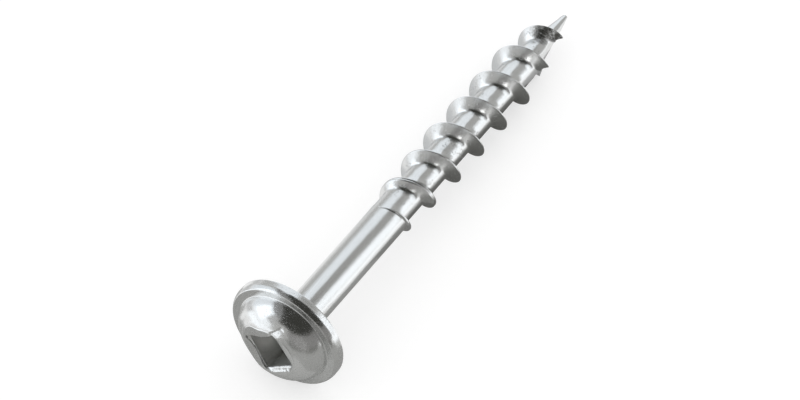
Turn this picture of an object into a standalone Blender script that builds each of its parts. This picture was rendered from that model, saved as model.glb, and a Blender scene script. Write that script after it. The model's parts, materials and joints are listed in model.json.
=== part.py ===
"""Pocket hole screw: a washer head with a square recess, a plain shank, a coarse
thread and a slotted point, cold formed and rolled from one piece of steel wire.

The screw is built upright, head up, with the washer's bearing face at z = 0, so a
station is a distance below that face. A turn is an angle around the axis, in degrees,
counted from the side that the screw lies on. At the end the screw is laid on its side,
on its washer and a thread crest, with its point towards +X and the ground at z = 0.
Units are metres.
"""

import math

import bmesh
import bpy
import numpy as np
from mathutils import Matrix, Vector

SCREW_LENGTH = 0.0378

# Washer and dome of the head
WASHER_RADIUS = 0.0046
WASHER_THICKNESS = 0.00098
WASHER_FRONT_BEVEL = 0.0001
WASHER_BACK_BEVEL = 0.00005
DOME_FOOT_RADIUS = 0.0038
DOME_HEIGHT = 0.00176
DOME_BULGE = 0.00034
DOME_TOP_RADIUS = 0.00212

# Square drive recess
RECESS_WIDTH = 0.00294
RECESS_DEPTH = 0.0023
RECESS_DRAFT = 2.0
RECESS_TURN = 6.2

# Plain shank
SHANK_RADIUS = 0.001465
SHANK_LENGTH = 0.01197
SHANK_FILLET = 0.0003

# Coarse rolled thread, which starts where the plain shank ends
CORE_RADIUS = 0.00126
CREST_RADIUS = 0.00219
PITCH = 0.00321
RIDGE_WIDTH = 0.00118
CREST_WIDTH = 0.00008
THREAD_START_TURN = 159.0
LIP_HEIGHT = 0.00033
LIP_TURNS = 0.375
LIP_LAG = 0.0003
RUN_IN_TURNS = 2.4
GROOVE_RUN_IN_TURNS = 0.5
RUN_OUT_TURNS = 0.6
BARE_POINT_LENGTH = 0.0009

# Cone of the point, and the slot that clears the chips
POINT_LENGTH = 0.0064
TIP_RADIUS = 0.00021
SLOT_LENGTH = 0.0067
SLOT_TIP_DEPTH = 0.00015
SLOT_SLOPE = 12.0
SLOT_OFFSET = 0.00066
SLOT_FLOOR_TURN = 281.0
SLOT_WALL_TURN = 246.0

# Fineness of the facets
FACETS = 48
DOME_STEPS = 6
EDGE_STEPS = 3
MERGE_DISTANCE = 0.000001

DOME_TOP = WASHER_THICKNESS + DOME_HEIGHT
POINT_START = SCREW_LENGTH - POINT_LENGTH
TIP_ROUNDING = TIP_RADIUS * 0.7
CREST_HEIGHT = CREST_RADIUS - CORE_RADIUS
THREAD_END = SCREW_LENGTH - BARE_POINT_LENGTH
THREAD_STEPS = round((THREAD_END - SHANK_LENGTH) / PITCH * FACETS)
STEP_TURN = 360 / FACETS


def clear_scene():
    for old in list(bpy.data.objects):
        bpy.data.objects.remove(old, do_unlink=True)


def new_collection(name):
    collection = bpy.data.collections.new(name)
    bpy.context.scene.collection.children.link(collection)
    return collection


def new_object(name, bm, collection):
    mesh = bpy.data.meshes.new(name)
    bm.to_mesh(mesh)
    bm.free()
    made = bpy.data.objects.new(name, mesh)
    collection.objects.link(made)
    return made


def zinc_plate():
    """Bright zinc on steel."""
    material = bpy.data.materials.new("zinc_plate")
    material.use_nodes = True
    shader = material.node_tree.nodes["Principled BSDF"]
    shader.inputs["Base Color"].default_value = (0.68, 0.69, 0.70, 1.0)
    shader.inputs["Metallic"].default_value = 1.0
    shader.inputs["Roughness"].default_value = 0.22
    return material


def point_at(radius, turn, station):
    """A place given by its radius, its turn in degrees and its station."""
    angle = math.radians(turn)
    return Vector((-radius * math.cos(angle), radius * math.sin(angle), -station))


def arc(start, end, bulge, steps):
    """Points after start, up to end, on an arc that rises bulge to the chord's left."""
    start, end = Vector(start), Vector(end)
    chord = end - start
    left = Vector((-chord.y, chord.x)).normalized()
    radius = (chord.length_squared / 4 + bulge ** 2) / (2 * bulge)
    centre = (start + end) / 2 + left * (bulge - radius)
    half = math.asin(min(1.0, chord.length / (2 * abs(radius))))
    points = []
    for step in range(1, steps + 1):
        swing = half - 2 * half * step / steps
        along = chord.normalized() * -math.sin(swing)
        points.append(centre + left * math.cos(swing) * radius + along * abs(radius))
    return [tuple(point) for point in points]


def head_outline():
    """Radius and height from the head's flat top down to the end of the plain shank."""
    front = WASHER_THICKNESS
    fillet_arc = SHANK_FILLET * (1 - math.sqrt(0.5))
    outline = [(0.0, DOME_TOP), (DOME_TOP_RADIUS, DOME_TOP)]
    outline += arc(outline[-1], (DOME_FOOT_RADIUS, front), DOME_BULGE, DOME_STEPS)
    outline.append((WASHER_RADIUS - WASHER_FRONT_BEVEL, front))
    widest = (WASHER_RADIUS, front * 0.62)
    outline += arc(outline[-1], widest, WASHER_FRONT_BEVEL / 3, EDGE_STEPS)
    outline.append((WASHER_RADIUS, WASHER_BACK_BEVEL))
    outline.append((WASHER_RADIUS - WASHER_BACK_BEVEL, 0.0))
    outline.append((SHANK_RADIUS + SHANK_FILLET, 0.0))
    outline += arc(outline[-1], (SHANK_RADIUS, -SHANK_FILLET), -fillet_arc, EDGE_STEPS)
    outline.append((SHANK_RADIUS, -SHANK_LENGTH))
    return outline


def tip_outline():
    """Radius and height around the blunted tip."""
    start = (TIP_RADIUS, TIP_ROUNDING - SCREW_LENGTH)
    return [start] + arc(start, (0.0, -SCREW_LENGTH), TIP_ROUNDING / 3, EDGE_STEPS)


def turned_mesh(name, outline):
    """An outline turned around the axis, with a facet and not an edge at the bottom."""
    bm = bmesh.new()
    corners = [bm.verts.new((radius, 0.0, height)) for radius, height in outline]
    for upper, lower in zip(corners, corners[1:]):
        bm.edges.new((upper, lower))
    half_step = Matrix.Rotation(math.radians(STEP_TURN / 2), 4, "Z")
    bmesh.ops.transform(bm, matrix=half_step, verts=bm.verts)
    shape = new_object(name, bm, bpy.context.scene.collection)
    screw = shape.modifiers.new("Turn", "SCREW")
    screw.steps = FACETS
    screw.render_steps = FACETS
    screw.use_merge_vertices = True
    screw.merge_threshold = MERGE_DISTANCE
    graph = bpy.context.evaluated_depsgraph_get()
    mesh = bpy.data.meshes.new_from_object(shape.evaluated_get(graph))
    bpy.data.objects.remove(shape, do_unlink=True)
    return mesh


def body_radius(station):
    """Radius of the core, and of the cone that it ends in."""
    if station <= POINT_START:
        return CORE_RADIUS
    share = (SCREW_LENGTH - TIP_ROUNDING - station) / (POINT_LENGTH - TIP_ROUNDING)
    return TIP_RADIUS + (CORE_RADIUS - TIP_RADIUS) * share


def groove_radius(station, turns):
    """Radius of the groove's floor, which comes down from the shank over a part turn."""
    missing = min(1.0, max(0.0, 1 - turns / GROOVE_RUN_IN_TURNS))
    return body_radius(station) + (SHANK_RADIUS - CORE_RADIUS) * missing


def crest_height(turns, turns_left):
    """How far the crest stands over the core: a lip on the shank, then the full ridge."""
    lip = SHANK_RADIUS - CORE_RADIUS + LIP_HEIGHT * min(1.0, turns / LIP_TURNS)
    rise = max(0.0, turns - LIP_TURNS) / (RUN_IN_TURNS - LIP_TURNS)
    height = lip + (CREST_HEIGHT - lip) * min(1.0, rise)
    return height * min(1.0, turns_left / RUN_OUT_TURNS)


def ridge_half_width(rise):
    """Half the ridge's width at a height over the core, between slightly hollow flanks."""
    share = min(1.0, max(0.0, 1 - rise / CREST_HEIGHT))
    return (CREST_WIDTH + (RIDGE_WIDTH - CREST_WIDTH) * share ** 1.2) / 2


def thread_section(step):
    """One cut through the ridge and the groove below it, as places from head to tip."""
    turns = step / FACETS
    turns_left = (THREAD_STEPS - step) / FACETS
    centre = SHANK_LENGTH + turns * PITCH + max(0.0, 1 - turns) * LIP_LAG
    spread = min(1.0, turns, turns_left / RUN_OUT_TURNS)
    height = crest_height(turns, turns_left)
    places = []
    for side, groove_turns in ((-1, turns - 1), (1, turns)):
        flank = []
        for share in (0.0, 0.4, 1.0):
            offset = side * spread * ridge_half_width(height * share)
            floor = groove_radius(centre + offset, groove_turns)
            crest = body_radius(centre + offset) + height
            flank.append((floor + (crest - floor) * share, centre + offset))
        places += flank if side < 0 else flank[::-1]
    middle = centre + PITCH / 2
    if step <= THREAD_STEPS - FACETS:
        places.append((groove_radius(middle, turns), middle))
    turn = first_turn() + step * STEP_TURN
    return [point_at(radius, turn, station) for radius, station in places]


def first_turn():
    """The turn where the thread starts, moved to the nearest edge between two facets."""
    return (math.floor(THREAD_START_TURN / STEP_TURN) + 0.5) * STEP_TURN


def threaded_length(bm):
    """Ridge and groove as one skin that winds down the core, right handed.

    Each section's groove ends on the section one turn later. The two ends of the skin
    reach to the ring of corners at the end of the shank and to the ring at the tip.
    """
    sections = []
    for step in range(THREAD_STEPS + 1):
        sections.append([bm.verts.new(place) for place in thread_section(step)])
    for step in range(THREAD_STEPS - FACETS + 1):
        sections[step].append(sections[step + FACETS][0])
    for first, second in zip(sections, sections[1:]):
        for corner in range(min(len(first), len(second)) - 1):
            bm.faces.new((first[corner], first[corner + 1], second[corner + 1], second[corner]))
    start_ring = []
    tip_ring = []
    for step in range(FACETS):
        turn = first_turn() + step * STEP_TURN
        start_ring.append(bm.verts.new(point_at(SHANK_RADIUS, turn, SHANK_LENGTH)))
        turn += (THREAD_STEPS - FACETS) * STEP_TURN
        tip_ring.append(bm.verts.new(point_at(TIP_RADIUS, turn, SCREW_LENGTH - TIP_ROUNDING)))
    for step in range(FACETS - 1):
        upper, lower = sections[step], sections[step + 1]
        bm.faces.new((start_ring[step], upper[0], lower[0], start_ring[step + 1]))
        upper = sections[step + THREAD_STEPS - FACETS]
        lower = sections[step + THREAD_STEPS - FACETS + 1]
        bm.faces.new((upper[5], tip_ring[step], tip_ring[step + 1], lower[5]))
    last_start = [start_ring[-1], sections[FACETS - 1][0], sections[FACETS][0]]
    bm.faces.new(last_start + sections[0][-2::-1] + [start_ring[0]])
    last_tip = [sections[-2][5], tip_ring[-1], tip_ring[0]]
    bm.faces.new(last_tip + sections[-FACETS - 1][5:7] + sections[-1])


def screw_blank(collection):
    """Head, shank, thread and point, welded into one closed skin."""
    bm = bmesh.new()
    bm.from_mesh(turned_mesh("head", head_outline()))
    bm.from_mesh(turned_mesh("tip", tip_outline()))
    threaded_length(bm)
    bmesh.ops.remove_doubles(bm, verts=bm.verts, dist=MERGE_DISTANCE)
    bmesh.ops.recalc_face_normals(bm, faces=bm.faces)
    blank = new_object("pocket_hole_screw", bm, collection)
    blank.data.shade_smooth()
    blank.data.set_sharp_from_angle(angle=math.radians(30))
    return blank


def recess_cutter(collection):
    """A square punch with a little draft, from above the dome down to the recess floor."""
    slope = math.tan(math.radians(RECESS_DRAFT))
    clear = DOME_HEIGHT
    diagonal = math.sqrt(2)
    bm = bmesh.new()
    bmesh.ops.create_cone(
        bm, cap_ends=True, segments=4, depth=RECESS_DEPTH + clear,
        radius1=(RECESS_WIDTH / 2 - RECESS_DEPTH * slope) * diagonal,
        radius2=(RECESS_WIDTH / 2 + clear * slope) * diagonal)
    middle = DOME_TOP + (clear - RECESS_DEPTH) / 2
    place = Matrix.Translation((0, 0, middle)) @ Matrix.Rotation(math.radians(180 - RECESS_TURN), 4, "Z")
    bmesh.ops.transform(bm, matrix=place, verts=bm.verts)
    return new_object("recess_cutter", bm, collection)


def slot_cutter(collection):
    """An open V along the point: a floor that slopes to the tip, and a wall beside it."""
    reach = 2 * CREST_RADIUS
    wall = point_at(reach, SLOT_WALL_TURN, 0)
    floor = point_at(reach, SLOT_FLOOR_TURN + 90, 0)
    slope = math.tan(math.radians(SLOT_SLOPE))
    bm = bmesh.new()
    rings = []
    for from_tip in (SLOT_LENGTH, -TIP_RADIUS):
        depth = SLOT_TIP_DEPTH + from_tip * slope
        corner = point_at(depth, SLOT_FLOOR_TURN, SCREW_LENGTH - from_tip)
        corner += point_at(SLOT_OFFSET, SLOT_FLOOR_TURN - 90, 0)
        rings.append([bm.verts.new(corner + side) for side in (Vector(), wall, wall + floor, floor)])
    for corner in range(4):
        following = (corner + 1) % 4
        bm.faces.new((rings[0][corner], rings[0][following], rings[1][following], rings[1][corner]))
    bm.faces.new(rings[0][::-1])
    bm.faces.new(rings[1])
    bmesh.ops.recalc_face_normals(bm, faces=bm.faces)
    return new_object("slot_cutter", bm, collection)


def cut(body, cutter):
    boolean = body.modifiers.new(cutter.name, "BOOLEAN")
    boolean.operation = "DIFFERENCE"
    boolean.solver = "EXACT"
    boolean.object = cutter
    cutter.hide_render = True
    cutter.display_type = "WIRE"


def finished_points(body):
    """The finished screw's corners, as an array, where the object stands now."""
    evaluated = body.evaluated_get(bpy.context.evaluated_depsgraph_get())
    mesh = evaluated.to_mesh()
    points = np.array([evaluated.matrix_world @ vertex.co for vertex in mesh.vertices])
    evaluated.to_mesh_clear()
    return points


def lying_tilt(points):
    """Angle between the axis and the ground line that touches the screw's underside.

    The line is the edge of the convex outline that passes under the screw's middle.
    """
    outline = []
    for station, drop in sorted(zip(-points[:, 2], -points[:, 0])):
        while len(outline) > 1:
            (s0, d0), (s1, d1) = outline[-2:]
            if (d1 - d0) * (station - s0) > (drop - d0) * (s1 - s0):
                break
            outline.pop()
        outline.append((station, drop))
    for (s0, d0), (s1, d1) in zip(outline, outline[1:]):
        if s0 <= SCREW_LENGTH / 2 <= s1:
            return math.atan2(d0 - d1, s1 - s0)
    return 0.0


def lay_down(body, pieces):
    """Lay the screw on the ground, point towards +X, centred over the origin."""
    tilt = lying_tilt(finished_points(body))
    rest = Matrix.Rotation(tilt - math.pi / 2, 4, "Y")
    for piece in pieces:
        piece.matrix_world = rest
    bpy.context.view_layer.update()
    points = finished_points(body)
    low, high = points.min(axis=0), points.max(axis=0)
    shift = Matrix.Translation((-(low[0] + high[0]) / 2, -(low[1] + high[1]) / 2, -low[2]))
    for piece in pieces:
        piece.matrix_world = shift @ rest


clear_scene()
screw_collection = new_collection("pocket_hole_screw")
cutter_collection = new_collection("cutters")
screw = screw_blank(screw_collection)
screw.data.materials.append(zinc_plate())
recess = recess_cutter(cutter_collection)
slot = slot_cutter(cutter_collection)
cut(screw, recess)
cut(screw, slot)
bpy.context.view_layer.update()
lay_down(screw, [screw, recess, slot])
bpy.context.view_layer.update()
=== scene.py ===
"""Looks of the pocket hole screw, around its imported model.

The screw is built upright, in millimetres, with its axis on Z, its head up and the
washer's bearing face at z = 0. A station is a distance below that face, and a turn is an
angle around the axis in degrees, counted from the side that the screw lies on. A finished
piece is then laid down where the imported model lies.
"""

import json
import math

import bmesh
import bpy
from mathutils import Matrix, Vector, noise


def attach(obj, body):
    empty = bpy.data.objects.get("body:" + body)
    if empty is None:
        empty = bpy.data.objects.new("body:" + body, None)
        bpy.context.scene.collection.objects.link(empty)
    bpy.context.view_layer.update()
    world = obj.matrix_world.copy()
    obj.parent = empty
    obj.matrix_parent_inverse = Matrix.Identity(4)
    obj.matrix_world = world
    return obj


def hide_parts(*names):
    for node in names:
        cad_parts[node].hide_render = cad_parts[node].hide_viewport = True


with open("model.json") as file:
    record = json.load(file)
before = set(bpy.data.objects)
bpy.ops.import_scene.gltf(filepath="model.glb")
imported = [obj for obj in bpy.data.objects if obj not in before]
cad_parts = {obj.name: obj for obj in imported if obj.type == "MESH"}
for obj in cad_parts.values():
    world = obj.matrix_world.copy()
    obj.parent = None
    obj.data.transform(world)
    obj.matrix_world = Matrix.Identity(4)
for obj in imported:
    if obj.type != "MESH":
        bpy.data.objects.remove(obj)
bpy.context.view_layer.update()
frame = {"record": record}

# The thread: a coarse right-handed ridge, rolled out of the wire between two dies.
# Ridge and groove wind down the core as one skin, from a blunt lip on the plain shank to
# the cone of the point, where the ridge fades out before the tip.
SCREW_LENGTH = 37.8
SHANK_RADIUS = 1.465
SHANK_LENGTH = 11.97
CORE_RADIUS = 1.26
CREST_RADIUS = 2.19
PITCH = 3.21
RIDGE_WIDTH = 1.18
CREST_WIDTH = 0.08
ROOT_FILLET = 0.1
FLANK_HOLLOW = 1.2
THREAD_START_TURN = 161.25
LIP_HEIGHT = 0.33
LIP_TURNS = 0.375
LIP_LAG = 0.3
LIP_START_LAG = 6.5
LIP_START_TURNS = 0.12
RUN_IN_TURNS = 2.4
GROOVE_RUN_IN_TURNS = 0.45
GROOVE_START_TURNS = -0.2
RUN_OUT_TURNS = 0.6
BARE_POINT_LENGTH = 0.9
POINT_LENGTH = 6.4
TIP_RADIUS = 0.24
TIP_ROUNDING = TIP_RADIUS * 0.7
CREST_SEAM_DEPTH = 0.05
CREST_ROUNDING = 0.03
LEAST_SPREAD = 0.08
THREAD_TURNS = (SCREW_LENGTH - BARE_POINT_LENGTH - SHANK_LENGTH) / PITCH
STEPS_PER_TURN = 160
TURNS_ABOVE = 2
TURNS_BELOW = 2
WELD = 0.0002


def point_at(radius, turn, station):
    """A place given by its radius, its turn in degrees and its station."""
    angle = math.radians(turn)
    return Vector((-radius * math.cos(angle), radius * math.sin(angle), -station))


def clamp(value):
    """The value, kept between 0 and 1."""
    return min(1.0, max(0.0, value))


def body_radius(station):
    """Radius of the core, and of the cone that it ends in."""
    if station <= SCREW_LENGTH - POINT_LENGTH:
        return CORE_RADIUS
    share = (SCREW_LENGTH - TIP_ROUNDING - station) / (POINT_LENGTH - TIP_ROUNDING)
    return TIP_RADIUS + (CORE_RADIUS - TIP_RADIUS) * share


def groove_radius(station, turns):
    """Radius of the groove's floor, which comes down from the shank over a part turn."""
    missing = clamp(1 - (turns - GROOVE_START_TURNS) / GROOVE_RUN_IN_TURNS)
    return body_radius(station) + (SHANK_RADIUS - CORE_RADIUS) * missing


def crest_height(turns):
    """How far the crest stands over the core: a lip on the shank, then the full ridge."""
    lip = SHANK_RADIUS - CORE_RADIUS + LIP_HEIGHT * clamp(turns / LIP_TURNS)
    rise = clamp((turns - LIP_TURNS) / (RUN_IN_TURNS - LIP_TURNS))
    height = lip + (CREST_RADIUS - CORE_RADIUS - lip) * rise
    return height * clamp((THREAD_TURNS - turns) / RUN_OUT_TURNS)


def ridge_half_width(rise):
    """Half the ridge's width at a height over the core, between slightly hollow flanks."""
    share = clamp(1 - rise / (CREST_RADIUS - CORE_RADIUS))
    return (CREST_WIDTH + (RIDGE_WIDTH - CREST_WIDTH) * share ** FLANK_HOLLOW) / 2


def half_section(turns, side):
    """Radius and station of one side of the ridge, from the groove's middle to the crest."""
    lag = LIP_LAG * max(0.0, 1 - max(0.0, turns))
    lag += LIP_START_LAG * min(LIP_START_TURNS, max(0.0, -turns))
    centre = SHANK_LENGTH + turns * PITCH + lag
    spread = max(LEAST_SPREAD, min(1.0, turns, (THREAD_TURNS - turns) / RUN_OUT_TURNS))
    groove_turns = turns if side > 0 else turns - 1
    height = crest_height(turns)
    middle = SHANK_LENGTH + (turns + side / 2) * PITCH

    def flank(share):
        """Place on the flank, at a share of the way from its root to the crest."""
        station = centre + side * spread * ridge_half_width(height * share)
        floor = groove_radius(station, groove_turns)
        return Vector((floor + (body_radius(station) + height - floor) * share, station))

    root = flank(0.0)
    away = Vector((0.0, side * min(ROOT_FILLET, abs(middle - root.y) * 0.5)))
    away.x = groove_radius(root.y + away.y, groove_turns) - root.x
    uphill = flank(0.3) - root
    places = []
    for share in (0.0, 0.5):
        station = middle + (root.y + away.y - middle) * share
        places.append(Vector((groove_radius(station, groove_turns), station)))
    for share in (0.0, 0.25, 0.5, 0.75, 1.0):
        places.append(root + away * (1 - share) ** 2 + uphill * share ** 2)
    places += [flank(share) for share in (0.45, 0.6, 0.75, 0.87, 0.95)]
    edge = flank(1.0)
    blunt = abs(edge.y - centre)
    rounding = min(CREST_ROUNDING, blunt * 0.5)
    drop = rounding * 0.6
    edge.x -= drop
    crest = edge.x + drop
    seam = min(CREST_SEAM_DEPTH, max(0.0, blunt - CREST_WIDTH) * 0.5)
    places.append(edge)
    places.append(Vector((crest, centre + side * (blunt - rounding))))
    places.append(Vector((crest, centre + side * blunt * 0.4)))
    places.append(Vector((crest - seam, centre)))
    return places


def thread_section(turns):
    """One cut through the ridge, from the groove on its head side to the one below it."""
    return half_section(turns, -1) + half_section(turns, 1)[-2::-1]


def threaded_skin(bm):
    """Ridge and groove: one turn is spun and moved down the axis, then copied, then shaped."""
    place_in_section = bm.verts.layers.int.new("place_in_section")
    across = [place.y - SHANK_LENGTH - PITCH for place in thread_section(1.0)]
    line = []
    for index, offset in enumerate(across):
        station = SHANK_LENGTH - TURNS_ABOVE * PITCH + offset
        line.append(bm.verts.new(point_at(CORE_RADIUS, THREAD_START_TURN, station)))
        line[-1][place_in_section] = index
    edges = [bm.edges.new(pair) for pair in zip(line, line[1:])]
    bmesh.ops.spin(
        bm, geom=line + edges, axis=(0, 0, -1), dvec=(0, 0, -PITCH / STEPS_PER_TURN),
        angle=math.tau, steps=STEPS_PER_TURN)
    one_turn = bm.verts[:] + bm.edges[:] + bm.faces[:]
    for turn in range(1, TURNS_ABOVE + math.ceil(THREAD_TURNS) + TURNS_BELOW):
        made = bmesh.ops.duplicate(bm, geom=one_turn)["geom"]
        moved = [item for item in made if isinstance(item, bmesh.types.BMVert)]
        bmesh.ops.translate(bm, verts=moved, vec=(0, 0, -PITCH * turn))
    sections = {}
    for vert in bm.verts:
        index = vert[place_in_section]
        turns = (-vert.co.z - SHANK_LENGTH - across[index]) / PITCH
        step = round(turns * STEPS_PER_TURN)
        if step not in sections:
            sections[step] = thread_section(step / STEPS_PER_TURN)
        radius, station = sections[step][index]
        vert.co = point_at(radius, THREAD_START_TURN + step * 360 / STEPS_PER_TURN, station)
    bmesh.ops.remove_doubles(bm, verts=bm.verts, dist=WELD)


def open_ring(bm, station):
    """The edges of the open ring that lies at a station."""
    return [edge for edge in bm.edges if edge.is_boundary
            and all(abs(vert.co.z + station) < WELD for vert in edge.verts)]


def cut_square(bm, station, side):
    """Cut the skin square to its axis, and take off what lies beyond, on that side."""
    bmesh.ops.bisect_plane(
        bm, geom=bm.verts[:] + bm.edges[:] + bm.faces[:], dist=WELD,
        plane_co=(0, 0, -station), plane_no=(0, 0, side), clear_outer=True)
    return open_ring(bm, station)


def extruded_ring(bm, ring, place):
    """Extrude an open ring, and put each new corner where place says."""
    made = bmesh.ops.extrude_edge_only(bm, edges=ring)["geom"]
    for item in made:
        if isinstance(item, bmesh.types.BMVert):
            item.co = place(item.co)
    return [item for item in made if isinstance(item, bmesh.types.BMEdge) and item.is_boundary]


thread = bmesh.new()
threaded_skin(thread)
THREAD_TOP = SHANK_LENGTH - 0.02
cut_square(thread, THREAD_TOP, 1)

# The tip: the last of the wire, where the dies have pinched off the scrap. It ends in a
# small rounding of the same steel, on which the cone of the point closes.
TIP_STEPS = 5
TIP_SWING = 88.0


def tip_place(swing):
    """A function that puts a corner of a ring on the tip's rounding, at a swing from its rim."""
    def place(co):
        reach = math.hypot(co.x, co.y)
        x, y = (value / reach * TIP_RADIUS * math.cos(swing) for value in (co.x, co.y))
        return Vector((x, y, -(SCREW_LENGTH - TIP_ROUNDING * (1 - math.sin(swing)))))
    return place


tip_ring = cut_square(thread, SCREW_LENGTH - TIP_ROUNDING, -1)
for step in range(1, TIP_STEPS + 1):
    swing = math.radians(TIP_SWING) * step / TIP_STEPS
    tip_ring = extruded_ring(thread, tip_ring, tip_place(swing))
bmesh.ops.contextual_create(thread, geom=tip_ring)
thread_part = bpy.data.meshes.new("thread")
thread.to_mesh(thread_part)
thread.free()

# The head: a low dome on a washer, headed in one blow from the end of the wire, with a
# small fillet into the plain shank. The washer's top is dished a little, and its rim is
# rounded over from above.
WASHER_RADIUS = 4.6
WASHER_THICKNESS = 0.98
WASHER_DISH = 0.06
WASHER_SHOULDER = 0.17
WASHER_SHOULDER_BULGE = 0.055
WASHER_RIM_HEIGHT = 0.42
WASHER_EDGE = 0.05
DOME_FOOT_RADIUS = 3.8
DOME_FOOT_FILLET = 0.06
DOME_HEIGHT = 1.76
DOME_BULGE = 0.34
DOME_TOP_RADIUS = 2.12
DOME_TOP_ROUNDING = 0.03
DOME_TOP = WASHER_THICKNESS + DOME_HEIGHT
SHANK_FILLET = 0.3
SHANK_JOIN = 0.5
HEAD_STEPS = 240
RECESS_TURN = 6.2


def arc(start, end, bulge, steps):
    """Points after start, up to end, on an arc that rises bulge to the chord's left."""
    start, end = Vector(start), Vector(end)
    chord = end - start
    left = Vector((-chord.y, chord.x)).normalized()
    radius = (chord.length_squared / 4 + bulge ** 2) / (2 * bulge)
    centre = (start + end) / 2 + left * (bulge - radius)
    half = math.asin(min(1.0, chord.length / (2 * abs(radius))))
    points = []
    for step in range(1, steps + 1):
        swing = half - 2 * half * step / steps
        along = chord.normalized() * -math.sin(swing)
        points.append(centre + left * math.cos(swing) * radius + along * abs(radius))
    return [tuple(point) for point in points]


def head_outline():
    """Radius and height from the rim of the head's flat top down to the shank."""
    rim = DOME_TOP_ROUNDING
    outline = [(DOME_TOP_RADIUS - rim, DOME_TOP)]
    outline += arc(outline[-1], (DOME_TOP_RADIUS + rim, DOME_TOP - rim), rim * 0.25, 4)
    foot = WASHER_THICKNESS - WASHER_DISH
    outline += arc(outline[-1], (DOME_FOOT_RADIUS - 0.02, foot + 0.04), DOME_BULGE, 36)
    outline += arc(outline[-1], (DOME_FOOT_RADIUS + DOME_FOOT_FILLET, foot), -0.012, 4)
    outline.append((WASHER_RADIUS - 0.2, WASHER_THICKNESS))
    shoulder = (WASHER_RADIUS - WASHER_SHOULDER, WASHER_THICKNESS)
    outline += arc(shoulder, (WASHER_RADIUS, WASHER_RIM_HEIGHT), WASHER_SHOULDER_BULGE, 14)
    outline += [(WASHER_RADIUS, 0.3), (WASHER_RADIUS, 0.1)]
    outline += arc((WASHER_RADIUS, WASHER_EDGE), (WASHER_RADIUS - WASHER_EDGE, 0.0), 0.015, 4)
    outline += [(SHANK_RADIUS + 2.0, 0.0), (SHANK_RADIUS + SHANK_FILLET, 0.0)]
    fillet_arc = SHANK_FILLET * (1 - math.sqrt(0.5))
    outline += arc(outline[-1], (SHANK_RADIUS, -SHANK_FILLET), -fillet_arc, 6)
    outline.append((SHANK_RADIUS, -SHANK_FILLET - 0.5))
    outline.append((SHANK_RADIUS, -SHANK_LENGTH + SHANK_JOIN))
    return outline


WORN_TURN = 84.0
WORN_DROP = 0.32
WORN_INNER_RADIUS = 0.9
WORN_OUTER_RADIUS = 3.7
WORN_REACH = 0.36
WORN_REACH_RADIUS = 2.9
NICK_START = Vector((2.05, -0.24))
NICK_ALONG = Vector((0.743, -0.67))
NICK_ACROSS = Vector((0.67, 0.743))
NICK_DEPTH = 0.13
NICK_LENGTH = 0.98
NICK_SLOPE_WIDTH = 0.22
NICK_WALL_WIDTH = 0.3


def worn(co):
    """A place on the head, moved by the sunken shoulder and the nick that the punch left."""
    radius = math.hypot(co.x, co.y)
    away = math.radians(math.degrees(math.atan2(co.y, -co.x)) - WORN_TURN)
    sunk = clamp((math.cos(away) - 0.35) / 0.6)
    sunk = sunk * sunk * (3 - 2 * sunk)
    drop = WORN_DROP * sunk * clamp(WORN_OUTER_RADIUS - radius) * clamp(radius - WORN_INNER_RADIUS)
    reach = WORN_REACH * sunk * clamp((WORN_REACH_RADIUS - radius) / 0.8) / max(radius, 0.1)
    from_nick = Vector((co.x, co.y)) - NICK_START
    out, over = from_nick.dot(NICK_ALONG), from_nick.dot(NICK_ACROSS)
    if -0.3 < out < NICK_LENGTH and -NICK_SLOPE_WIDTH < over < NICK_WALL_WIDTH:
        slope = (over + NICK_SLOPE_WIDTH) / (2 * NICK_SLOPE_WIDTH)
        wall = clamp((NICK_WALL_WIDTH - over) / 0.08)
        drop += NICK_DEPTH * min(slope, wall, (NICK_LENGTH - out) / 0.2)
    return Vector((co.x * (1 + reach), co.y * (1 + reach), co.z - drop))


screw_mesh = bmesh.new()
outline = [screw_mesh.verts.new((radius, 0.0, height)) for radius, height in head_outline()]
outline_edges = [screw_mesh.edges.new(pair) for pair in zip(outline, outline[1:])]
to_corner = Matrix.Rotation(math.radians(180 - RECESS_TURN), 4, "Z")
bmesh.ops.transform(screw_mesh, matrix=to_corner, verts=outline)
bmesh.ops.spin(
    screw_mesh, geom=outline + outline_edges, axis=(0, 0, 1), angle=math.tau,
    steps=HEAD_STEPS, use_merge=True)
for vert in screw_mesh.verts:
    if vert.co.z > WASHER_THICKNESS + 0.1:
        vert.co = worn(vert.co)
screw_mesh.from_mesh(thread_part)
bpy.data.meshes.remove(thread_part)
shank_end = open_ring(screw_mesh, SHANK_LENGTH - SHANK_JOIN)
thread_end = open_ring(screw_mesh, THREAD_TOP)
bmesh.ops.bridge_loops(screw_mesh, edges=shank_end + thread_end)

# The recess: a square hole for a number 2 bit, punched into the dome. The punch has left a
# step inside its mouth, a notch at one corner and a ragged bright edge along one side.
RECESS_HALF = 1.47
RECESS_DEPTH = 2.3
CORNER_RADIUS = 0.14
NOTCH_REACH = 0.5
BURR_REACH = 0.3
BURR_ROUGHNESS = 0.07
LIP_REACH = 0.2
# Each ring's depth, how far it is set in, its step, and its share of notch, burr and lip.
RECESS_RINGS = (
    (0.0, 0.0, 0.0, 1.0, 1.0, 1.0), (0.1, 0.02, 0.0, 1.0, 0.8, 0.0), (0.14, 0.03, 0.0, 0.6, 0.5, 0.0),
    (0.18, 0.03, 0.03, 0.25, 0.3, 0.0), (0.24, 0.03, 0.02, 0.15, 0.1, 0.0),
    (0.36, 0.03, 0.03, 0.1, 0.0, 0.0), (0.52, 0.03, 0.09, 0.0, 0.0, 0.0),
    (0.85, 0.05, 0.1, 0.0, 0.0, 0.0), (1.5, 0.07, 0.34, 0.0, 0.0, 0.0),
    (2.2, 0.09, 0.5, 0.0, 0.0, 0.0), (RECESS_DEPTH, 0.2, 0.5, 0.0, 0.0, 0.0))


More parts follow.
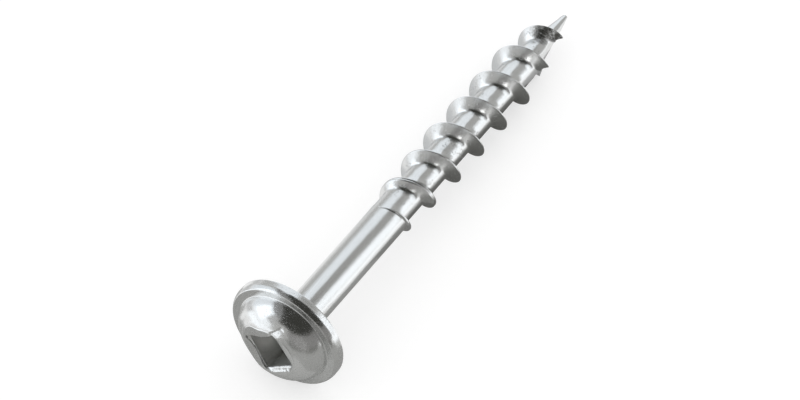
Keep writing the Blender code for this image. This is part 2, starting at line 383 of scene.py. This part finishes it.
def square_place(turn, half):
    """Place across a square with rounded corners, as seen along the recess's two sides."""
    angle = math.radians((turn - RECESS_TURN) % 90 - 45)
    reach = half / math.cos(angle)
    inner = half - CORNER_RADIUS
    if abs(reach * math.sin(angle)) > inner:
        swing = math.pi / 4 - abs(angle)
        middle = inner * math.sqrt(2)
        past = math.sqrt(CORNER_RADIUS ** 2 - (middle * math.sin(swing)) ** 2)
        reach = middle * math.cos(swing) + past
    from_side = math.radians(turn - RECESS_TURN - 45)
    return reach * math.cos(from_side), -reach * math.sin(from_side)


def at_side(reach):
    """0 well inside a side of the recess, 1 on it."""
    return clamp(reach * 4 - 4.6)


def off_corner(reach):
    """0 in the corners of a side, 1 along the rest of it."""
    return clamp((1.35 - abs(reach)) * 3)


def recess_place(depth, inset, step, notch, burr, lip):
    """A function that puts a corner of a ring on the recess's wall, at a depth."""
    def place(co):
        turn = math.degrees(math.atan2(co.y, -co.x))
        left, low = square_place(turn, RECESS_HALF - inset)
        rough = noise.noise(Vector((left * 4, low * 4, depth * 5)))
        if left > 0:
            left += notch * NOTCH_REACH * clamp(left - 0.6) * clamp((-low - 0.4) / 0.9)
            left -= step * at_side(left)
        left -= lip * LIP_REACH * at_side(-left) * off_corner(low)
        if low > 0:
            low += burr * (BURR_REACH + BURR_ROUGHNESS * rough) * at_side(low) * off_corner(left)
        side = math.atan2(-low, left)
        at = point_at(math.hypot(left, low), math.degrees(side) + RECESS_TURN + 45, -(DOME_TOP - depth))
        lowered = worn(at).z - at.z
        return at + Vector((0, 0, lowered * clamp(1 - depth)))
    return place


recess_ring = [edge for edge in screw_mesh.edges if edge.is_boundary and edge.verts[0].co.z > 0]
for ring in RECESS_RINGS:
    recess_ring = extruded_ring(screw_mesh, recess_ring, recess_place(*ring))
bmesh.ops.contextual_create(screw_mesh, geom=recess_ring)
bmesh.ops.recalc_face_normals(screw_mesh, faces=screw_mesh.faces)

# The slot: a V cut by a milling cutter into the last two turns of the hardened thread.
# It gives the point an edge, and carries the chips away.
SLOT_LENGTH = 6.7
SLOT_TIP_DEPTH = 0.15
SLOT_SLOPE = 12.0
SLOT_OFFSET = 0.66
SLOT_FLOOR_TURN = 281.0
SLOT_WALL_TURN = 246.0


def slot_cutter():
    """The slot's space: a floor that slopes towards the tip, and a wall beside it."""
    reach = 2 * CREST_RADIUS
    wall = point_at(reach, SLOT_WALL_TURN, 0)
    floor = point_at(reach, SLOT_FLOOR_TURN + 90, 0)
    bm = bmesh.new()
    ends = []
    for from_tip in (SLOT_LENGTH, -TIP_RADIUS):
        depth = SLOT_TIP_DEPTH + from_tip * math.tan(math.radians(SLOT_SLOPE))
        corner = point_at(depth, SLOT_FLOOR_TURN, SCREW_LENGTH - from_tip)
        ends.append(corner + point_at(SLOT_OFFSET, SLOT_FLOOR_TURN - 90, 0))
    rim = [bm.verts.new(ends[0] + side) for side in (Vector(), wall, wall + floor, floor)]
    face = bm.faces.new(rim)
    made = bmesh.ops.extrude_face_region(bm, geom=[face])["geom"]
    moved = [item for item in made if isinstance(item, bmesh.types.BMVert)]
    bmesh.ops.translate(bm, verts=moved, vec=ends[1] - ends[0])
    bmesh.ops.recalc_face_normals(bm, faces=bm.faces)
    mesh = bpy.data.meshes.new("slot_cutter")
    bm.to_mesh(mesh)
    bm.free()
    cutter = bpy.data.objects.new("slot_cutter", mesh)
    bpy.context.scene.collection.objects.link(cutter)
    return cutter


mesh = bpy.data.meshes.new("screw")
screw_mesh.to_mesh(mesh)
screw_mesh.free()
screw = bpy.data.objects.new("screw", mesh)
bpy.context.scene.collection.objects.link(screw)
cutter = slot_cutter()
cut = screw.modifiers.new("Slot", "BOOLEAN")
cut.operation = "DIFFERENCE"
cut.solver = "EXACT"
cut.object = cutter
slotted = bpy.data.meshes.new_from_object(screw.evaluated_get(bpy.context.evaluated_depsgraph_get()))
screw.modifiers.clear()
screw.data = slotted
bpy.data.objects.remove(cutter, do_unlink=True)

# The lie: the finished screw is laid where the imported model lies, on the rim of its washer
# and on a thread crest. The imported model's bearing face gives the place and the axis.
seat = frame["record"]["mounts"][0]
BEARING_RING_RADIUS = 3.1575
SHARP_ANGLE = 38.0
along = Vector(seat["axis"]).normalized()
up = Vector((0, 1, 0)).cross(along) * -1
axis_foot = Vector(seat["pos_m"]) - up * BEARING_RING_RADIUS / 1000
lie = Matrix((up, Vector((0, 1, 0)), -along)).transposed().to_4x4()
lie.translation = axis_foot
screw.data.transform(lie @ Matrix.Scale(0.001, 4))
screw.data.shade_smooth()
screw.data.set_sharp_from_angle(angle=math.radians(SHARP_ANGLE))

# The plating: bright zinc over steel. The rolled thread is rougher and more uneven than the
# drawn shank and the struck head; fine grain covers all, with streaks along the axis and a few
# pits on the core. The recess walls are painted darker as painted shade, with a lighter painted
# reflection on one wall, and the milled slot is painted near black as painted shade.
zinc = bpy.data.materials.new("zinc_plate")
zinc.use_nodes = True
nodes, links = zinc.node_tree.nodes, zinc.node_tree.links
shader = nodes["Principled BSDF"]
shader.inputs["Metallic"].default_value = 1.0


def node(kind, links_in, **values):
    """A new node in the material in hand, with its inputs linked or set, and its values set."""
    made = nodes.new(kind)
    for name, value in values.items():
        setattr(made, name, value)
    for name, value in links_in.items():
        if isinstance(value, bpy.types.NodeSocket):
            links.new(value, made.inputs[name])
        else:
            made.inputs[name].default_value = value
    return made


def math_node(operation, first, second=0.0, third=0.0):
    """The result of one sum on numbers or links."""
    return node("ShaderNodeMath", {0: first, 1: second, 2: third}, operation=operation).outputs[0]


def ramp_up(value, low, high):
    """0 up to the low limit, 1 from the high one."""
    return node("ShaderNodeMapRange", {"Value": value, "From Min": low, "From Max": high}).outputs["Result"]


def ball(place, radius):
    """1 around a place on the screw, fading out to 0 at a radius."""
    away = node("ShaderNodeVectorMath", {0: along_axis, 1: place}, operation="DISTANCE").outputs["Value"]
    return ramp_up(away, radius, radius * 0.4)


def mixed(share, first, second):
    """The first colour where share is 0, the second where it is 1."""
    return node("ShaderNodeMix", {0: share, 6: first, 7: second}, data_type="RGBA").outputs[2]


def scaled(place, scale):
    """A place, stretched or squeezed along each axis."""
    return node("ShaderNodeVectorMath", {0: place, 1: scale}, operation="MULTIPLY").outputs[0]


def noise_field(place, scale, detail, roughness):
    """Uneven values around a half, as noise at a place gives them."""
    return node("ShaderNodeTexNoise", {
        "Vector": place, "Scale": scale, "Detail": detail, "Roughness": roughness}).outputs["Fac"]


object_place = node("ShaderNodeTexCoord", {}).outputs["Object"]
along_axis = node("ShaderNodeMapping", {
    "Vector": object_place, "Scale": (1000, 1000, 1000),
    "Location": (-1000 * axis_foot.dot(along), 0, -1000 * axis_foot.dot(up)),
    "Rotation": (0, math.atan2(along.z, along.x), 0)}).outputs["Vector"]
station = node("ShaderNodeSeparateXYZ", {"Vector": along_axis}).outputs["X"]
from_axis = scaled(along_axis, (0, 1, 1))
radius = node("ShaderNodeVectorMath", {0: from_axis}, operation="LENGTH").outputs["Value"]

on_thread = ramp_up(station, SHANK_LENGTH, SHANK_LENGTH + 1.0)
on_head = ramp_up(station, 2.0, 0.5)
on_flank = math_node("MULTIPLY", on_thread, ramp_up(radius, CORE_RADIUS + 0.02, CORE_RADIUS + 0.15))
on_shank = math_node("MULTIPLY", ramp_up(station, 0.5, 1.0), ramp_up(on_thread, 0.5, 0.0))
in_recess = math_node("MULTIPLY", ramp_up(station, -DOME_TOP + 0.1, -DOME_TOP + 0.5), math_node(
    "MULTIPLY", ramp_up(station, 0.2, 0.0), ramp_up(radius, 2.2, 2.1)))
MILLED_RIDGE = (34.35, -0.1, 1.3)
MILLED_FLANK = (34.8, -0.95, 0.75)
milled = math_node("MAXIMUM", ball(MILLED_RIDGE, 1.1), ball(MILLED_FLANK, 1.0))
milled = math_node("MULTIPLY", milled, ramp_up(radius, 0.8, 0.92))

grain = noise_field(along_axis, 8.0, 4.0, 0.6)
fine = noise_field(along_axis, 11.0, 1.0, 0.5)
streak = noise_field(scaled(along_axis, (0.08, 1, 1)), 7.0, 3.0, 0.6)
wave = noise_field(along_axis, 1.3, 2.0, 0.5)
torn = noise_field(scaled(along_axis, (1, 0.4, 0.4)), 6.5, 4.0, 0.75)
cell = node("ShaderNodeTexVoronoi", {"Vector": along_axis, "Scale": 7.0}).outputs["Distance"]
PITTED_CORE = (20.3, -0.55, 1.13)
here_and_there = ramp_up(wave, 0.6, 0.68)
pitted = math_node("MAXIMUM", ball(PITTED_CORE, 0.75), math_node("MULTIPLY", here_and_there, on_thread))
pits = math_node("MULTIPLY", ramp_up(cell, 0.34, 0.2), pitted)

DULL_ZINC = (0.65, 0.655, 0.65, 1)
BRIGHT_ZINC = (0.77, 0.775, 0.77, 1)
# Recess colours: a darker grey as painted shade, and a lighter patch around one place on a wall as a
# painted reflection.
RECESS_PAINTED_SHADE = (0.58, 0.58, 0.56, 1)
RECESS_PAINTED_REFLECTION = (0.95, 0.94, 0.92, 1)
# Painted shade for the milled slot near the point: a near-black colour.
SLOT_PAINTED_SHADE = (0.13, 0.127, 0.117, 1)
PAINTED_REFLECTION_PLACE = (-1.45, 1.25, -0.6)
uneven = math_node("ADD", grain, streak)
plated = mixed(math_node("MULTIPLY_ADD", uneven, 1.0, -0.5), DULL_ZINC, BRIGHT_ZINC)
# Painted shade darkens the recess walls, and a painted reflection lightens them around one place.
recess_shade_and_reflection = mixed(ball(PAINTED_REFLECTION_PLACE, 1.0), RECESS_PAINTED_SHADE, RECESS_PAINTED_REFLECTION)
punched = mixed(in_recess, plated, recess_shade_and_reflection)
# Painted shade: the milled slot is painted near black, speckled by the torn noise.
colour = mixed(math_node("MULTIPLY", milled, ramp_up(torn, 0.66, 0.5)), punched, SLOT_PAINTED_SHADE)
links.new(colour, shader.inputs["Base Color"])

SMOOTHEST = 0.1
fleck_share = math_node("MULTIPLY_ADD", on_head, 0.18, 0.04)
roughness = SMOOTHEST
for field, more in (
        (in_recess, 0.3), (on_thread, 0.02), (on_flank, 0.03), (on_shank, 0.02), (uneven, 0.08),
        (ramp_up(fine, 0.56, 0.68), fleck_share)):
    roughness = math_node("MULTIPLY_ADD", field, more, roughness)
links.new(roughness, shader.inputs["Roughness"])

RELIEF_UNIT = 0.00001
streak_height = math_node("MULTIPLY", ramp_up(radius, 1.7, 1.5), 0.5)
wave_height = math_node("MULTIPLY", on_thread, 1.2)
torn_height = math_node("MULTIPLY", milled, 10.0)
relief = math_node("MULTIPLY", grain, math_node("MULTIPLY_ADD", on_head, 0.08, 0.25))
for field, height in (
        (streak, streak_height), (wave, wave_height), (torn, torn_height), (pits, -2.5)):
    relief = math_node("MULTIPLY_ADD", field, height, relief)
bump = node("ShaderNodeBump", {"Strength": 1.0, "Distance": RELIEF_UNIT, "Height": relief})
links.new(bump.outputs["Normal"], shader.inputs["Normal"])
screw.data.materials.clear()
screw.data.materials.append(zinc)
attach(screw, "root")
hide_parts("pocket_hole_screw")

# The camera: a long lens, high over the screw's head end, which looks down along the screw to
# its point. Its place, turn and lens were fitted to the screw's edges.
CAMERA_AZIMUTH = -56.5465
CAMERA_ELEVATION = 53.6684
CAMERA_PLACE = (-0.15063069, -0.09750324, 0.24450046)
CAMERA_LENS = 181.056
azimuth = math.radians(CAMERA_AZIMUTH)
elevation = math.radians(CAMERA_ELEVATION)
back = Vector((
    math.sin(azimuth) * math.cos(elevation), -math.cos(azimuth) * math.cos(elevation),
    math.sin(elevation)))
camera = bpy.data.objects.new("camera", bpy.data.cameras.new("camera"))
camera.location = CAMERA_PLACE
camera.rotation_euler = (-back).to_track_quat("-Z", "Y").to_euler()
camera.data.lens = CAMERA_LENS
camera.data.sensor_width = 36
camera.data.clip_start = 0.01
camera.data.clip_end = 10
bpy.context.scene.collection.objects.link(camera)
bpy.context.scene.camera = camera

# The floor: a sheet of pale paper, which the white surround lights almost evenly. It glows
# a little to the camera and in the bright metal, so that it looks white there too.
FLOOR_REACH = 3.0
FLOOR_GREY = (0.5, 0.5, 0.5, 1)
FLOOR_GLOW = 0.55
WHITE = (1, 1, 1, 1)
floor_mesh = bmesh.new()
bmesh.ops.create_grid(floor_mesh, x_segments=1, y_segments=1, size=FLOOR_REACH)
mesh = bpy.data.meshes.new("floor")
floor_mesh.to_mesh(mesh)
floor_mesh.free()
floor = bpy.data.objects.new("floor", mesh)
bpy.context.scene.collection.objects.link(floor)
pale = bpy.data.materials.new("pale_floor")
pale.use_nodes = True
nodes, links = pale.node_tree.nodes, pale.node_tree.links
pale_shader = nodes["Principled BSDF"]
pale_shader.inputs["Base Color"].default_value = FLOOR_GREY
pale_shader.inputs["Roughness"].default_value = 1.0
pale_shader.inputs["Specular IOR Level"].default_value = 0.0
pale_shader.inputs["Emission Color"].default_value = WHITE
ray = node("ShaderNodeLightPath", {}).outputs
seen = math_node("MAXIMUM", ray["Is Camera Ray"], ray["Is Glossy Ray"])
seen = math_node("MAXIMUM", seen, ray["Is Transmission Ray"])
links.new(math_node("MULTIPLY", seen, FLOOR_GLOW), pale_shader.inputs["Emission Strength"])
floor.data.materials.append(pale)
world = bpy.data.worlds.new("studio")
bpy.context.scene.world = world
world.use_nodes = True
world.node_tree.nodes["Background"].inputs["Color"].default_value = WHITE
world.node_tree.nodes["Background"].inputs["Strength"].default_value = 1.0
bpy.context.scene.view_settings.view_transform = "Standard"

# The boards: plain grey, black and white boards around the screw, which only its bright
# metal mirrors, so that it shows dark and light bands on a white ground. The upright ones
# are bent around the screw, and the flat ones lie on the floor under it.
BOARD_DISTANCE = 0.6
BOARD_COLUMN = 4
BOARD_ROWS = 12
BOARD_LIFT = 0.00002
BLACK = (0.05, 0.05, 0.045)
WARM_GREY = (0.28, 0.275, 0.27)


def edge_elevation(edge, azimuth):
    """Elevation of a board's edge, which runs straight between its listed corners."""
    for (start, low), (end, high) in zip(edge, edge[1:]):
        if start <= azimuth <= end:
            return low + (high - low) * (azimuth - start) / (end - start)
    return edge[-1][1]


def board_object(name, bm, colour, glow):
    """A painted board, lit from inside by its glow, which only mirror rays see."""
    mesh = bpy.data.meshes.new(name)
    bm.to_mesh(mesh)
    bm.free()
    board = bpy.data.objects.new(name, mesh)
    bpy.context.scene.collection.objects.link(board)
    for ray in ("camera", "diffuse", "transmission", "volume_scatter", "shadow"):
        setattr(board, "visible_" + ray, False)
    paint = bpy.data.materials.new(name)
    paint.use_nodes = True
    shader = paint.node_tree.nodes["Principled BSDF"]
    shader.inputs["Specular IOR Level"].default_value = 0.0
    shader.inputs["Base Color"].default_value = (0, 0, 0, 1) if glow else (*colour, 1)
    shader.inputs["Emission Color"].default_value = (*colour, 1)
    shader.inputs["Emission Strength"].default_value = glow
    board.data.materials.append(paint)


def upright_board(name, lower, upper, colour, glow=1.0, distance=BOARD_DISTANCE):
    """A lit board between two edges, each a list of azimuths and elevations in degrees."""
    columns = round((lower[-1][0] - lower[0][0]) / BOARD_COLUMN)
    bm = bmesh.new()
    bmesh.ops.create_grid(bm, x_segments=columns, y_segments=BOARD_ROWS, size=0.5)
    for vert in bm.verts:
        azimuth = lower[0][0] + (lower[-1][0] - lower[0][0]) * (vert.co.x + 0.5)
        low, high = edge_elevation(lower, azimuth), edge_elevation(upper, azimuth)
        turn, rise = math.radians(azimuth), math.radians(low + (high - low) * (vert.co.y + 0.5))
        vert.co = distance * Vector((
            math.cos(turn) * math.cos(rise), math.sin(turn) * math.cos(rise), math.sin(rise)))
    board_object(name, bm, colour, glow)


def flat_board(name, corners, colour, glow=0.0):
    """A board on the floor, between corners given in millimetres."""
    bm = bmesh.new()
    bm.faces.new([bm.verts.new((x / 1000, y / 1000, BOARD_LIFT)) for x, y in corners])
    board_object(name, bm, colour, glow)


upright_board(
    "black_board", [(-196, 36), (-178, 37), (-166, 29), (-62, 28), (-50, 42), (-35, 50), (-20, 55), (0, 60),
                    (30, 60), (60, 66), (100, 74), (150, 70), (164, 50)],
    [(-196, 90), (164, 90)], BLACK)
upright_board(
    "dim_board", [(50, 40), (70, 44), (76, 47), (100, 51), (140, 49), (158, 47)],
    [(50, 64), (60, 66), (100, 74), (150, 70), (158, 59)], (0.28, 0.28, 0.28))
upright_board("window_board", [(-152, 0), (-137, 0)], [(-152, 15), (-137, 15)], (2.6, 2.6, 2.6), 1.0, 0.59)
upright_board("grey_board", [(-172, 0), (-62, 0)], [(-172, 29), (-62, 29)], WARM_GREY)
upright_board(
    "side_board", [(-46, 0), (4, 0)], [(-46, 46), (-35, 50), (-20, 55), (0, 60), (4, 60)], (0.5, 0.5, 0.49))
upright_board("far_board", [(4, 0), (50, 0)], [(4, 60), (30, 60), (50, 64)], (1.05, 1.1, 1.15))
upright_board("gap_board", [(50, 0), (70, 0)], [(50, 40), (70, 44)], (0.55, 0.55, 0.54))
upright_board("pale_key_board", [(70, 0), (100, 0)], [(70, 44), (76, 47), (100, 51)], (0.95, 1.0, 1.05))
upright_board("key_board", [(100, 9), (140, 9)], [(100, 51), (140, 49)], (1.52, 1.6, 1.68))
upright_board("low_key_board", [(100, 0), (140, 0)], [(100, 9), (140, 9)], (1.15, 1.18, 1.22))
upright_board("edge_board", [(140, 0), (158, 0)], [(140, 24), (158, 15)], (1.25, 1.29, 1.33))
upright_board("dim_edge_board", [(140, 24), (158, 15)], [(140, 49), (158, 47)], (0.55, 0.55, 0.55))
upright_board(
    "left_board", [(158, 0), (188, 0)], [(158, 59), (164, 50), (188, 34)], (0.53, 0.53, 0.52), 1.0, 0.61)
upright_board("strip_board", [(-62, 0), (-46, 0)], [(-62, 34), (-50, 42), (-46, 45)], (1.45, 1.5, 1.55))
FLAG_CENTRE = (-0.0195, 0, 0.011)
FLAG_AZIMUTH = -144.0
FLAG_DISTANCE = 0.03
FLAG_HALF_SIZE = (0.0075, 0.012, 1, 1)
around_head = Matrix.Translation(FLAG_CENTRE) @ Matrix.Rotation(math.radians(FLAG_AZIMUTH), 4, "Z")
stood_up = Matrix.Translation((FLAG_DISTANCE, 0, 0)) @ Matrix.Rotation(math.radians(90), 4, "Y")
flag_board = bmesh.new()
bmesh.ops.create_grid(
    flag_board, x_segments=1, y_segments=1, size=1.0,
    matrix=around_head @ stood_up @ Matrix.Diagonal(FLAG_HALF_SIZE))
board_object("flag_board", flag_board, WARM_GREY, 1.0)
flat_board(
    "head_board", [(-24, -1000), (-18, -1000), (-18, -7.5), (-6, -7.5), (-6, 0.5), (-19, 0.5),
                   (-19, -5), (-29, -5), (-29, 2), (-19, 2), (-19, 9), (-1000, 9), (-1000, -4),
                   (-44, -4), (-44, -14), (-24, -34)], (0.43, 0.43, 0.42))
flat_board("near_head_board", [(-29, -5), (-19, -5), (-19, 2), (-29, 2)], (0.56, 0.56, 0.55))
flat_board(
    "far_head_board", [(-1000, -1000), (-24, -1000), (-24, -34), (-44, -14), (-44, -4), (-1000, -4)],
    (0.22, 0.22, 0.21))
flat_board("washer_board", [(-18, -60), (-11, -60), (-11, -7.5), (-18, -7.5)], (0.42, 0.42, 0.41))
flat_board("washer_side_board", [(-11, -60), (-6, -60), (-6, -13), (-11, -13)], (0.62, 0.62, 0.61))
flat_board("right_board", [(-6, -150), (60, -150), (60, -13), (-6, -13)], (1.4, 1.43, 1.46), 1.0)
flat_board("shank_board", [(-6, -7.5), (-2, -7.5), (-2, 0.5), (-6, 0.5)], (0.32, 0.32, 0.31))
flat_board("thread_board", [(-2, -5), (14, -5), (14, 0.5), (-2, 0.5)], (0.2, 0.2, 0.19))
flat_board("thread_side_board", [(-2, -7.5), (14, -7.5), (14, -5), (-2, -5)], (0.36, 0.36, 0.35))
flat_board("point_board", [(14, -7.5), (18, -7.5), (18, 0.5), (14, 0.5)], (0.55, 0.55, 0.55))
flat_board("left_head_board", [(-19, 0.5), (-13, 0.5), (-13, 16), (-19, 16)], (0.52, 0.52, 0.51))
flat_board("left_thread_board", [(-2, 0.5), (60, 0.5), (60, 14), (-2, 14)], (0.75, 0.76, 0.77))
flat_board("left_far_board", [(-24, 20), (60, 20), (60, 100), (-50, 100)], (0.67, 0.67, 0.67))
flat_board(
    "bounce_board", [(-150, 13), (-24, 13), (-24, 20), (-50, 100), (-68, 150), (-150, 150)],
    (1.35, 1.4, 1.45), 1.0)
